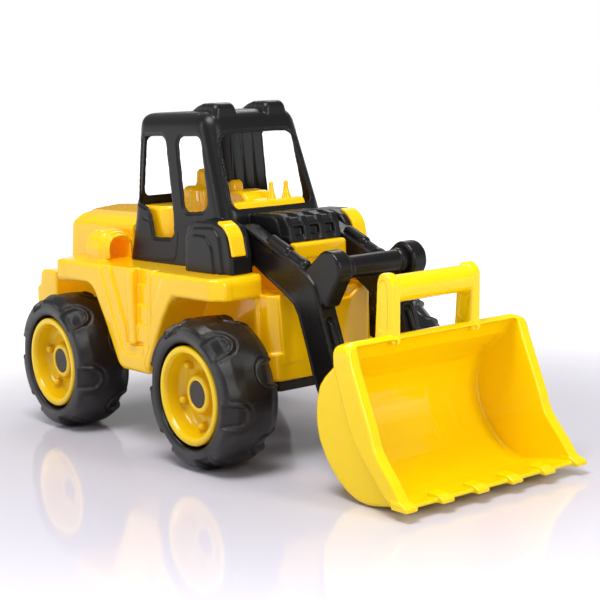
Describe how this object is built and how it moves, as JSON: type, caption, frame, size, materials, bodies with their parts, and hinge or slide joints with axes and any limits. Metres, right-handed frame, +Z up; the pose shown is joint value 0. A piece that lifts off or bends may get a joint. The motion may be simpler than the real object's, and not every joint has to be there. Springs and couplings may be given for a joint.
{
  "type": "toy wheel loader",
  "caption": "Push-along plastic toy wheel loader with a hollow cab, four free-turning wheels, lifting arms and a tilting toothed bucket that has a grip handle on top.",
  "frame": {"origin": "on the ground under the middle of the whole toy's length and width", "axes": "+X towards the bucket, +Y towards the loader's left side, +Z up"},
  "size_m": [0.679, 0.2908, 0.361],
  "materials": {
    "body_yellow": "glossy moulded plastic",
    "bucket_yellow": "glossy moulded plastic",
    "rim_yellow": "glossy moulded plastic",
    "shell_black": "satin black moulded plastic",
    "arm_black": "satin black moulded plastic",
    "frame_black": "matt black moulded plastic",
    "tyre_black": "blow-moulded soft black plastic",
    "cap_grey": "fine-textured dark plastic",
    "steel": "zinc-plated"
  },
  "bodies": {
    "chassis": {"body_shell": "body_yellow", "base_frame": "frame_black", "base_screws": "steel", "cab_shell": "shell_black", "headlight_panel_right": "body_yellow", "headlight_panel_left": "body_yellow", "lift_shaft": "steel", "cab_screws": "steel", "cab_interior": "body_yellow", "front_axle": "steel", "rear_axle": "steel", "axle_push_nuts": "steel"},
    "loader_arms": {"loader_arm_right": "arm_black", "loader_arm_left": "arm_black", "arm_crossbar": "arm_black"},
    "bucket_body": {"bucket": "bucket_yellow", "bucket_pivot_pins": "steel"},
    "wheel_front_right": {"tyre_front_right": "tyre_black", "rim_front_right": "rim_yellow", "hub_cap_front_right": "cap_grey", "wheel_lock_ring_front_right": "frame_black"},
    "wheel_front_left": {"tyre_front_left": "tyre_black", "rim_front_left": "rim_yellow", "hub_cap_front_left": "cap_grey", "wheel_lock_ring_front_left": "frame_black"},
    "wheel_rear_right": {"tyre_rear_right": "tyre_black", "rim_rear_right": "rim_yellow", "hub_cap_rear_right": "cap_grey", "wheel_lock_ring_rear_right": "frame_black"},
    "wheel_rear_left": {"tyre_rear_left": "tyre_black", "rim_rear_left": "rim_yellow", "hub_cap_rear_left": "cap_grey", "wheel_lock_ring_rear_left": "frame_black"}
  },
  "joints": [
    {"name": "arm_lift", "type": "hinge", "parent": "chassis", "child": "loader_arms", "pos_m": [0.0365, 0, 0.222], "axis": [0, -1, 0], "range_deg": [0, 50]},
    {"name": "bucket_tilt", "type": "hinge", "parent": "loader_arms", "child": "bucket_body", "pos_m": [0.1885, 0, 0.055], "axis": [0, -1, 0], "range_deg": [-48, 15]},
    {"name": "wheel_spin_front_right", "type": "hinge", "parent": "chassis", "child": "wheel_front_right", "pos_m": [0.0515, -0.1133, 0.076], "axis": [0, 1, 0], "continuous": true},
    {"name": "wheel_spin_front_left", "type": "hinge", "parent": "chassis", "child": "wheel_front_left", "pos_m": [0.0515, 0.1133, 0.076], "axis": [0, 1, 0], "continuous": true},
    {"name": "wheel_spin_rear_right", "type": "hinge", "parent": "chassis", "child": "wheel_rear_right", "pos_m": [-0.2289, -0.1133, 0.076], "axis": [0, 1, 0], "continuous": true},
    {"name": "wheel_spin_rear_left", "type": "hinge", "parent": "chassis", "child": "wheel_rear_left", "pos_m": [-0.2289, 0.1133, 0.076], "axis": [0, 1, 0], "continuous": true}
  ]
}
